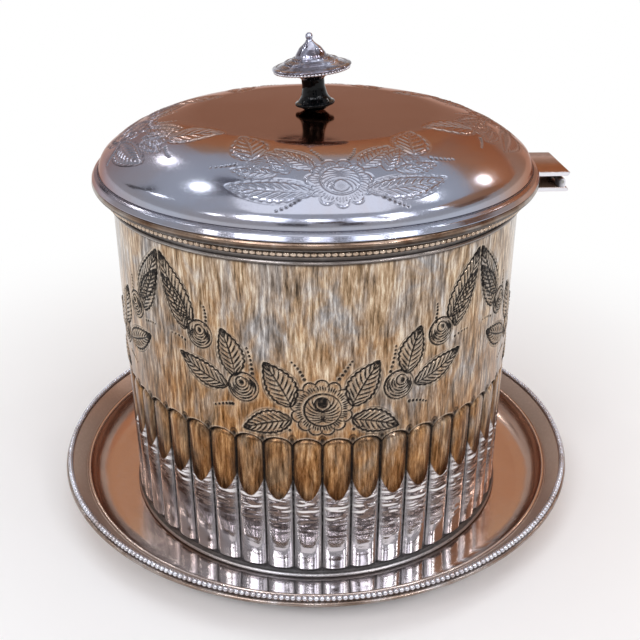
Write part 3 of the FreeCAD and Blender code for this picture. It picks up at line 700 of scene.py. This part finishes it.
def japan():
    """Black japan, a stoved lacquer, on turned metal: near black and glossy, uneven over 4 mm."""
    finish, tree, shader, place = begun("black japan on turned metal")
    flow = add(tree, "ShaderNodeTexNoise", {"Vector": place, "Scale": 260.0, "Detail": 2.0})
    tone = add(tree, "ShaderNodeValToRGB", {"Fac": flow}, [(0.35, "#030405"), (0.70, "#0c1013")])
    rise = add(tree, "ShaderNodeBump", {"Height": flow, "Strength": 0.6, "Distance": 0.0004})
    feed(shader, {"Base Color": tone, "Normal": rise, "Roughness": 0.06, "IOR": 1.50,
                  "Specular IOR Level": 0.16})
    return finish


DRUM_PLATE = drum_plate()
LID_PLATE = lid_plate()
HINGE_PLATE = hinge_plate()
JAPAN = japan()
TRAY_PLATE = tray_plate()
WIRE_PLATE = plated("drawn silver-plated wire", ("#bab3af", "#9e8c81", "#7d6a5d"), 16.0,
                    (0.12, 0.24), 0.05)
MOUTH_BEAD_PLATE = plated("old rolled beading of the mouth", ("#dccbba", "#c0ab97", "#957c67"), 9.0,
                          (0.12, 0.22), 0.04)
BEAD_PLATE = plated("rolled silver-plated beading", ("#e8e9f2", "#cfcdd4", "#aa9c98"), 12.0,
                    (0.08, 0.16), 0.04)
MOUTH_PLATE = plated("spun silver plate of the mouth", ("#b7b1ae", "#938b86", "#6c625b"), 24.0)
LID_WIRE_PLATE = plated("drawn wire of the lid", ("#a89f99", "#8f7a6a", "#6c5342"), 14.0,
                        (0.12, 0.22), 0.05)
INSIDE_PLATE = plated("unpolished plate inside the box", ("#b9b5ac", "#a59c8c", "#857861"), 30.0,
                      (0.28, 0.45))
# The finial's tones change in clouds of 5 mm: the palest are painted glints, the deep brown a painted
# dark reflection
FINIAL_PLATE = plated("cast silver-plated finial", ("#c6c9da", "#85828f", "#523f39"), 5.0,
                      (0.05, 0.12), 0.16, 3.0)
PIN_STEEL = plated("drawn steel pin", ("#b8b8b6", "#a0a09c", "#7b7a76"), 10.0, (0.25, 0.4), 0.05)
BRASS = plated("turned brass fixing", ("#d9b873", "#b8934f", "#7c5d2c"), 8.0, (0.22, 0.38), 0.05)


# ---------------------------------------------------------------- tray

def cove(radius, start, end):
    """Corners of the tray's cove, an arc above the edge of its flat well, between two angles."""
    return [(*polar((WELL_EDGE, COVE_HEIGHT), radius, turn), 0)
            for turn in np.radians(np.linspace(start, end, 16))]


# Darker along the cove's top, beside the ridge and at the rim's inner edge; painted shade where the drum
# stands
fitted(turned("tray_sheet", [
    (0.02, 0.0, 0), *cove(11.8, -90, -8), (106.6, 10.8, 0.5), (112.2, 15.6, 0.3),
    (113.0, 15.6), (113.0, 16.8, 0.2), (111.8, 16.8, 0.3), (106.2, 11.6, 0.6), (105.9, 12.7, 0.7),
    (104.8, 12.7, 0.7), *cove(10.6, -2, -90), (0.02, 1.2, 0)], TRAY_COLUMNS,
    [(106.6, 11.9, 0.7, 0.5), (104.6, 11.6, 0.5, 0.3), (111.8, 16.8, 0.5, 0.4), (84.6, 1.2, 0.9, 0.9)]),
    "box", "tray_silver", TRAY_PLATE, "tray_dish")
# The wire's underside is painted dark as a shadow, and it is darker where the beads sit on it
fitted(turned("tray_rim_wire", [
    (113.0, 15.2), (114.6, 15.2, 0.7), (115.0, 16.0, 0.3), (114.6, 16.8, 0.7), (113.0, 16.8)],
    TRAY_COLUMNS, [(114.6, 15.1, 0.8, 0.9), (113.6, 16.9, 0.5, 0.6)]),
    "box", "tray_wire_silver", WIRE_PLATE, "tray_edge_wire")
fitted(beaded("tray_beading", 113.0, 17.88, 1.12, 337),
       "box", "tray_wire_silver", BEAD_PLATE, "tray_bead_wire")
# The base wire is painted dark at its foot, its top and its crest, as painted shade at the drum's foot
fitted(turned("drum_base_wire", [
    (80.8, 1.2), (83.4, 1.2, 0.8), (84.2, 2.1, 0.4), (83.4, 3.0, 0.8), (80.8, 3.0)], WIRE_COLUMNS,
    [(83.9, 1.3, 0.7, 0.95), (83.2, 3.0, 0.6, 0.95), (84.2, 2.1, 0.6, 0.45)]),
    "box", "drum_wire_silver", TRAY_PLATE, "base_wire")


# ---------------------------------------------------------------- drum

def drum_outside():
    """The drum's wall: convex flutes under engraved arches, and the garland above them."""
    columns = FLUTES * 44
    deepest = 1.95
    heights = np.concatenate([
        [3.0, 3.6, 4.2], np.linspace(4.5, 7.5, 9), np.linspace(9.5, 35.5, 14),
        np.arange(36.5, 49.5, 0.36), np.linspace(50.5, 57.0, 5), np.arange(58.0, 138.4, 0.28),
        [139.6, 141.0, 142.2, WALL_TOP]])
    angles = np.arange(columns) * TURN / columns
    angle, z = np.meshgrid(angles, heights)
    # Sideways place within a flute: the grooves lie where the arches meet
    pitch = TURN * DRUM_RADIUS / FLUTES
    half = pitch / 2
    lobe = ((angle / TURN * FLUTES + 0.5 + FLUTE_TURN) % 1 - 0.5) * pitch
    # Share is 1 along the edge of each flute, up one side, round its arch and down the other
    rise = 4.4
    spring = FLUTE_TOP - 0.4 - rise
    lift = np.clip((z - spring) / rise, 0, None)
    share = np.hypot(lobe / half, lift)
    inward = (share - 1) * half
    hollow = FLUTE_DEPTH * np.clip(share, 0, 1) ** 3.2
    depth = np.where(share < 1, hollow, FLUTE_DEPTH * np.exp(-(np.clip(inward, 0, None) / 0.55) ** 2))
    depth = np.where(z < FLUTE_FOOT + 0.3, deepest, depth)
    # The black line in each groove, sulphide in the groove and painted shade where the flutes meet,
    # thins out towards the foot, and a softer painted shade lies along it, inside the flute only
    line = np.interp(z, [5, 40], [0.48, 0.80])
    mark = np.clip((line - np.abs(inward)) / 0.35, 0, 1) * (z > FLUTE_FOOT)
    mark = np.maximum(mark, 0.5 * np.exp(-(inward / 1.5) ** 2) * (share < 1) * (z > FLUTE_FOOT))
    # Painted shade lies black at the foot, and under the wire of the mouth
    mouth_wire = 136.0
    mark = np.maximum(mark, 0.85 * (z < FLUTE_FOOT + 0.2))
    mark = np.maximum(mark, 0.95 * np.exp(-((z - mouth_wire) / 0.7) ** 2))
    # A punched peg under a ring stands in each valley between two arches
    peg_height = 65.4
    valley = half - np.abs(lobe)
    peg = np.clip(1 - (valley / 1.15) ** 2 - ((z - peg_height) / 1.7) ** 2, 0, 1)
    ring = np.exp(-((np.hypot(valley / 1.45, (z - peg_height) / 2.1) - 1) / 0.20) ** 2) * (z > 65.0)
    depth = np.minimum(depth + 0.5 * peg + 0.22 * ring, deepest)
    mark = np.maximum(mark, np.maximum(peg ** 0.5, ring * 0.8))
    # The garland stands out from the wall, and its strokes are cut into it
    board = drum_swag()
    along = ((angle - SWAG_MIDDLE + QUARTER / 2) % QUARTER - QUARTER / 2) * DRUM_RADIUS
    cut = board.read(board.cut, along, z)
    raised = board.read(board.raised, along, z)
    radius = DRUM_RADIUS - depth + 0.55 * raised - 0.40 * cut
    points = np.stack([radius * np.cos(angle), radius * np.sin(angle), z], axis=-1)
    # Black fills the strokes almost to their edges, and a thin film dims the leaves and flowers
    filled = np.maximum(np.clip((cut - 0.15) / 0.35, 0, 1), 0.16 * np.clip(2 * raised, 0, 1))
    # The lips of the strokes and of the arches are rubbed paler and carry a painted highlight, and a
    # bright line on the upper left of each stroke, called its burr, is a painted highlight
    lip_wear_and_highlight = np.clip(2.4 * board.read(board.spread(board.cut, 0.55), along, z), 0, 1)
    burr_highlight = np.clip(board.read(board.cut, along + 0.50, z - 0.45) - cut, 0, 1)
    ridge_wear_and_highlight = 0.8 * np.exp(-((inward - 1.25) / 0.45) ** 2) * (lift > 0)
    wear_and_highlight = np.clip(np.maximum(0.34 * lip_wear_and_highlight + 0.50 * burr_highlight, ridge_wear_and_highlight * 0.7), 0, 1)
    # The painted warm reflection ends lowest on the middle of each flute, as the tray's mirrored rim
    # would
    reflection_end = 38.2 + 8.5 * (lobe / half) ** 2
    below_painted_reflection = np.clip((reflection_end - z) / 0.6 + 0.5, 0, 1)
    return woven("drum_outside", points,
                 {"tarnish_and_shade": np.maximum(mark, filled), "below_painted_reflection": below_painted_reflection, "wear_and_highlight": wear_and_highlight})


fitted(drum_outside(), "box", "drum_silver", DRUM_PLATE, "drum_wall")
fitted(turned("drum_inside", [
    (81.0, 4.4, 0), (81.0, 68.0, 1), (82.2, 69.2, 1), (82.2, WALL_TOP, 0.2), (83.2, WALL_TOP, 0.2),
    (83.0, WALL_TOP - 0.5, 0), (82.4, WALL_TOP - 0.5, 0), (82.4, 69.0, 0), (81.1, 67.6, 0),
    (81.1, 4.4, 0)], INSIDE_COLUMNS),
    "box", "inside_silver", INSIDE_PLATE)
# Painted shade lies black under the mouth's lower wire and where it meets the collar
fitted(turned("mouth_lower_wire", [
    (83.2, 136.2), (84.3, 136.2, 0.6), (84.9, 137.0, 0.4), (84.3, 137.8, 0.6), (83.2, 137.8)],
    WIRE_COLUMNS, [(83.9, 136.2, 0.6, 0.95), (84.2, 137.8, 0.5, 0.9)]),
    "box", "drum_wire_silver", MOUTH_PLATE, "mouth_edge_wire")
# Painted shade lies black behind the beads, under the lid's flange and at the foot of the cove
fitted(turned("mouth_collar", [
    (83.2, 137.8, 0), (84.0, 137.8, 0.15), (84.3, 139.2, 1.6), (85.4, 140.25, 0.15), (85.4, 142.25, 0.15),
    (86.3, 142.7, 1.2), (89.0, 143.0, 0.1), (89.0, 143.5, 0.12), (83.2, 143.5, 0.1)], WIRE_COLUMNS,
    [(85.4, 141.2, 1.25, 0.97), (87.4, 142.8, 2.0, 0.97), (84.3, 138.2, 0.7, 0.9)]),
    "box", "drum_silver", MOUTH_PLATE, "mouth_band")
fitted(beaded("mouth_beading", 86.45, 141.25, 1.03, 236),
       "box", "drum_wire_silver", MOUTH_BEAD_PLATE, "mouth_bead_wire")


# ---------------------------------------------------------------- lid

def bowed(start, end, radius, count):
    """Points of an arc that bows outwards between two points of a (radius, height) outline."""
    start, end = np.array(start), np.array(end)
    run = end - start
    chord = math.hypot(*run)
    across = np.array([run[1], -run[0]]) / chord
    middle = (start + end) / 2 + across * math.sqrt(radius ** 2 - chord ** 2 / 4)
    first, last = start - middle, end - middle
    turns = np.linspace(math.atan2(first[1], first[0]), math.atan2(last[1], last[0]), count)
    return np.stack([middle[0] + radius * np.cos(turns), middle[1] + radius * np.sin(turns)], axis=1)


def lid_outside():
    """The lid's dome with its four sprays, rolled over to the fine groove and the band."""
    columns = 1472
    reach = np.concatenate([np.linspace(2.0, 26.0, 8), np.arange(27.0, CROWN_EDGE, 0.42)])
    crown = np.stack([reach, CROWN_TOP - 0.4 * (reach / CROWN_EDGE) ** 2], axis=1)
    shoulder = bowed((CROWN_EDGE, CROWN_TOP - 0.4), (84.6, 155.3), 60.0, 118)
    turn = bowed((84.6, 155.3), (87.6, 149.9), 8.4, 26)[1:]
    edge = softened([(87.6, 149.9, 0.15), (87.6, 149.0, 0.2), (88.2, 149.3, 0.25), (89.5, 148.7, 1.0),
                     (90.6, 146.7, 0.3), (89.1, 146.6, 0)])[3:-2]
    profile = np.concatenate([crown, shoulder, turn, edge])
    step = np.gradient(profile, axis=0)
    normal = np.stack([-step[:, 1], step[:, 0]], axis=1)
    normal /= np.maximum(np.hypot(normal[:, 0], normal[:, 1]), 1e-6)[:, None]
    # The board is laid on the dome from the crown down: up on it is the way along the profile
    travel = np.concatenate([[0], np.cumsum(np.hypot(*np.diff(profile, axis=0).T))]) + profile[0, 0]
    angles = np.arange(columns) * TURN / columns
    near = (angles - SPRAY_MIDDLE + QUARTER / 2) % QUARTER - QUARTER / 2
    board = lid_spray()
    across = profile[:, 0, None] * np.sin(near)[None, :]
    up = travel[:, None] * np.cos(near)[None, :]
    cut = board.read(board.cut, across, up)
    raised = board.read(board.raised, across, up)
    lift = 0.22 * raised - 0.36 * cut
    out = profile[:, 0, None] + normal[:, 0, None] * lift
    high = profile[:, 1, None] + normal[:, 1, None] * lift
    points = np.stack([out * np.cos(angles), out * np.sin(angles), high], axis=-1)
    groove = np.exp(-(np.hypot(profile[:, 0] - 87.7, profile[:, 1] - 149.1) / 0.4) ** 2)
    # On the lid the strokes are nearly clean, and only the rows of dots are black
    pits = board.read(board.pits, across, up) * (np.hypot(across, up - SPRAY_ROSE[1]) > 10)
    mark = np.maximum(np.maximum(cut * 0.28, pits * 0.95), 0.4 * groove[:, None])
    return woven("lid_outside", points[::-1], {"tarnish_and_shade": mark[::-1]})


fitted(lid_outside(), "lid", "lid_silver", LID_PLATE, "lid_dome")
fitted(turned("lid_inside", [
    (2.0, 168.2, 0), (46.0, 167.8, 20.0), (70.6, 163.0, 30), (83.8, 154.5, 6.0), (86.6, 149.5, 1.0),
    (87.0, 146.7, 0), (90.2, 146.7, 0), (87.8, 148.4, 0), (87.2, 149.8, 1.0), (84.2, 155.1, 6.0),
    (70.6, 163.6, 30), (46.0, 168.4, 20), (2.0, 168.8, 0)], INSIDE_COLUMNS),
    "lid", "inside_silver", INSIDE_PLATE)
# Painted shade lies black on the wire's lower face over the gap beneath it, and it is darker where it
# meets the dome
fitted(turned("lid_edge_wire", [
    (88.4, 143.8), (90.0, 143.8, 0.9), (90.8, 145.2, 1.0), (90.0, 146.6, 0.9), (88.4, 146.6)],
    WIRE_COLUMNS, [(90.0, 143.8, 0.9, 1.0), (90.6, 144.5, 0.55, 0.95), (90.3, 146.6, 0.35, 0.7)]),
    "lid", "lid_wire_silver", LID_WIRE_PLATE, "lid_rim_wire")


# ---------------------------------------------------------------- hinge

def hinge_leaf(name, plate, first, rise):
    """A leaf: its plate, and every other knuckle with the web that rises or falls to the plate."""
    end = HINGE_LENGTH / 2
    parts = [prism(softened(plate), -end, end, 0.35)]
    pitch = HINGE_LENGTH / KNUCKLES
    play = 0.075
    for index in range(first, KNUCKLES, 2):
        start = pitch * index - end + play
        barrel = [polar((HINGE_X, HINGE_Z), KNUCKLE_RADIUS, math.copysign(math.radians(turn), -rise))
                  for turn in range(0, 181, 15)]
        barrel += [(HINGE_X + side, HINGE_Z + rise) for side in (-KNUCKLE_RADIUS, KNUCKLE_RADIUS)]
        parts.append(prism(barrel, start, start + pitch - 2 * play, 0.15))

    def recess_shade(x, y, z):
        """The recess between the leaves is painted black towards the box, as painted shade."""
        return 0.9 if abs(z - HINGE_Z) < 2.4 and x < HINGE_X + 0.3 else 0.0

    return bundled(name, parts, recess_shade)


fitted(hinge_leaf("lid_leaf", [
    (89.0, 143.8, 0), (102.0, 143.8, 0.3), (102.75, 144.5, 0.4), (103.0, 145.3, 0.45),
    (102.3, 145.65, 0.5), (89.0, 145.8, 0)], 1, 2.35),
    "lid", "hinge_silver", HINGE_PLATE, "lid_hinge_leaf")
fitted(hinge_leaf("body_leaf", [
    (83.4, 137.3, 0), (102.4, 137.35, 0.4), (103.0, 137.6, 0.4), (102.75, 138.4, 0.4),
    (102.0, 139.2, 0.3), (83.4, 139.2, 0)], 0, -2.35),
    "box", "hinge_silver", HINGE_PLATE, "body_hinge_leaf")


# ---------------------------------------------------------------- finial

def finial_piece(name, corners, dark=()):
    """A turned piece of the finial, drawn upright from the crown and leaned over."""
    return leaned(turned(name, [(r, z + CROWN_TOP, ease) for r, z, ease in corners], FINIAL_COLUMNS,
                         [(r, z + CROWN_TOP, reach, depth) for r, z, reach, depth in dark]))


fitted(finial_piece("stem", [
    (1.6, 0.4, 0), (4.2, 0.35, 0.2), (6.6, 1.9, 1.2), (7.9, 2.3, 0.5), (8.0, 3.3, 0.5), (6.9, 3.7, 0.3),
    (5.4, 5.6, 4.0), (4.5, 9.4, 6.0), (4.6, 12.55, 0.1), (1.6, 12.55, 0)]),
    "lid", "stem_black", JAPAN, "finial_stem")
fitted(finial_piece("canopy", [
    (1.6, 12.6, 0), (4.6, 12.6, 0.2), (6.8, 14.6, 1.2), (14.2, 16.75, 0.3), (15.3, 16.8, 0.3),
    (15.9, 17.3, 0.3), (15.5, 17.8, 0.3), (14.3, 18.15, 0.2), (13.9, 18.05, 0.2), (11.3, 19.1, 0.8),
    (10.9, 19.7, 0.2), (10.3, 19.95, 0.3), (9.9, 19.75, 0.2), (8.0, 20.4, 0.6), (7.7, 20.95, 0.2),
    (7.0, 21.1, 0.3), (6.5, 20.85, 0.2), (5.9, 22.3, 3.0), (4.3, 24.6, 4.0), (2.9, 25.7, 2.5),
    (1.7, 26.8, 1.5), (1.3, 27.6, 0.2), (0.02, 27.6, 0)],
    [(13.9, 18.0, 0.35, 0.5), (9.9, 19.75, 0.3, 0.5), (6.5, 20.9, 0.35, 0.6), (1.3, 27.5, 0.3, 0.5)]),
    "lid", "finial_silver", FINIAL_PLATE, "finial_canopy")
fitted(leaned(beaded("canopy_beading", 14.8, CROWN_TOP + 16.45, 0.62, 68)),
       "lid", "finial_silver", BEAD_PLATE, "finial_bead_wire")
fitted(finial_piece("tip", [
    (0.02, 27.4, 0), (1.25, 27.4, 0.2), (1.1, 27.75, 0.2), (1.45, 28.3, 0.4), (1.55, 28.9, 0.8),
    (1.2, 29.8, 0.8), (0.45, 30.26, 0.6), (0.02, 30.27, 0)]),
    "lid", "finial_silver", FINIAL_PLATE, "finial_tip")


# ---------------------------------------------------------------- CAD nodes kept as they are

for node, finish in (
        ("drum_floor", INSIDE_PLATE), ("hinge_pin", PIN_STEEL), ("lid_bezel", INSIDE_PLATE),
        ("finial_stud", PIN_STEEL), ("finial_washer", BRASS), ("finial_nut", BRASS)):
    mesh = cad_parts[node].data
    mesh.materials.clear()
    mesh.materials.append(finish)


# ---------------------------------------------------------------- floor, light and camera

AIM = Vector((0, 0, 0.09))


def studio_paper():
    """Pale matt paper, evenly white away from the object to the camera, to metal and to glass."""
    paper, tree, shader, place = begun("pale matt paper")
    feed(shader, {"Base Color": linear("#f4f3f1"), "Roughness": 0.9})
    ray = add(tree, "ShaderNodeLightPath").outputs
    direct = add(tree, "ShaderNodeMath", {0: ray["Is Camera Ray"], 1: ray["Is Glossy Ray"]},
                 operation="MAXIMUM")
    shown = add(tree, "ShaderNodeMath", {0: direct, 1: ray["Is Transmission Ray"]}, operation="MAXIMUM")
    away = add(tree, "ShaderNodeVectorMath", {0: place}, operation="LENGTH")
    far = add(tree, "ShaderNodeMapRange", {"Value": away, "From Min": 0.11, "From Max": 0.34},
              interpolation_type="SMOOTHSTEP")
    amount = add(tree, "ShaderNodeMath", {0: shown, 1: far}, operation="MULTIPLY")
    glow = add(tree, "ShaderNodeEmission", {"Color": linear("#ffffff"), "Strength": 1.0})
    blend = add(tree, "ShaderNodeMixShader", {0: amount, 1: shader, 2: glow})
    feed(tree.nodes["Material Output"], {"Surface": blend})
    return paper


def staged(name, points, faces, finish):
    """A piece of the studio, which isn't part of the object."""
    mesh = bpy.data.meshes.new(name)
    mesh.from_pydata(points, [], faces)
    mesh.materials.append(finish)
    made = placed(name, mesh)
    return made


# The floor's paper is turned up at its far edges, so that no horizon shows
staged("studio_floor", [(x, y, z) for z in (0, 1.4) for x, y in ((-9, -9), (9, -9), (9, 9), (-9, 9))],
       [(0, 1, 2, 3), (0, 4, 5, 1), (1, 5, 6, 2), (2, 6, 7, 3), (3, 7, 4, 0)], studio_paper())

world = bpy.data.worlds.new("soft studio")
bpy.context.scene.world = world
world.use_nodes = True
sky = world.node_tree
direction = add(sky, "ShaderNodeTexCoord").outputs["Generated"]
height = add(sky, "ShaderNodeSeparateXYZ", {"Vector": direction}).outputs["Z"]
grey = add(sky, "ShaderNodeValToRGB", {"Fac": height},
           [(0.0, "#d6d3d1"), (0.35, "#cbc8c8"), (0.75, "#d2d4da")])
feed(sky.nodes["Background"], {"Color": grey, "Strength": 1.0})


def lamp(name, place, size, power, colour="#ffffff"):
    """An area lamp that looks at the middle of the box. One size makes a disc, two a rectangle."""
    made = bpy.data.lights.new(name, "AREA")
    made.shape = "RECTANGLE" if len(size) == 2 else "DISK"
    made.size = size[0]
    if len(size) == 2:
        made.size_y = size[1]
    made.energy = power
    made.color = linear(colour)[:3]
    holder = placed(name, made)
    holder.location = place
    holder.rotation_euler = (AIM - Vector(place)).to_track_quat("-Z", "Y").to_euler()


lamp("overhead softbox", (0.0, -0.10, 1.25), (1.0, 0.7), 2.2)
for index, place in enumerate(((-0.44, -0.98, 0.93), (-0.02, -1.06, 0.90), (0.40, -1.00, 0.94))):
    lamp(f"front softbox {index + 1}", place, (0.22, 0.38), 0.85, "#eef2ff")
# A ring of small round lamps gives the glints
for index, place in enumerate((
        (-0.65, 0.37, 1.22), (-0.99, 0.32, 0.97), (-0.61, 0.84, 0.93), (-0.95, -0.62, 0.80),
        (-0.50, -0.89, 1.05), (-0.09, -1.06, 1.01), (0.57, -1.06, 0.80), (0.95, -0.45, 0.85),
        (0.72, 0.11, 1.25), (0.93, 0.54, 0.91))):
    lamp(f"small lamp {index + 1}", place, (0.11,), 0.40)
# Two panels give the flutes their long lights, by way of the tray
lamp("panel left", (-0.56, -0.74, 0.86), (0.20, 0.42), 1.7, "#f6f7ff")
lamp("panel right", (0.62, -0.70, 0.84), (0.18, 0.40), 1.4, "#f6f7ff")
# Two pinpoint lamps sparkle on the beads, the stem and the edges
for index, place in enumerate(((0.55, -0.86, 0.62), (-0.78, -0.80, 0.98))):
    lamp(f"pinpoint lamp {index + 1}", place, (0.045,), 0.50)
# Dark, brown and warm cards give the plate something to mirror between the lamps
for index, (place, (wide, tall), colour) in enumerate((
        ((-0.64, 0.92, 0.58), (0.16, 0.15), "#3c3a3c"), ((-0.95, 0.50, 0.78), (0.14, 0.40), "#4a474a"),
        ((0.07, 1.26, 0.91), (1.05, 0.62), "#e9c4a2"), ((0.89, 0.89, 0.91), (1.05, 0.62), "#e3b18c"),
        ((1.26, 0.07, 0.91), (1.05, 0.56), "#d2a07c"), ((1.12, -0.16, 0.58), (0.46, 0.20), "#94684c"),
        ((-0.30, -1.20, 0.56), (0.30, 0.26), "#4c4a4e"), ((0.06, -0.98, 0.70), (0.30, 0.16), "#5c4c44"),
        ((0.28, -1.14, 0.56), (0.26, 0.24), "#54484a"), ((-0.42, 0.26, 1.18), (0.30, 0.26), "#6a6770"))):
    paint, _, coat, _ = begun(f"matt card paint {index + 1}")
    feed(coat, {"Base Color": linear(colour), "Roughness": 0.95})
    card = staged(f"card {index + 1}", [(x * wide / 2, y * tall / 2, 0)
                                        for x, y in ((-1, -1), (1, -1), (1, 1), (-1, 1))],
                  [(0, 1, 2, 3)], paint)
    card.location = place
    card.rotation_euler = (Vector(place) - AIM).to_track_quat("Z", "Y").to_euler()

view = bpy.data.cameras.new("photograph")
view.sensor_width = 36.0
view.lens = 51.14
view.shift_y = -0.0231
camera = placed("photograph", view)
camera.location = (-0.0218, -0.3646, 0.2541)
camera.rotation_euler = (math.radians(64.76), 0, math.radians(-3.7))
bpy.context.scene.camera = camera
bpy.context.scene.view_settings.view_transform = "Standard"
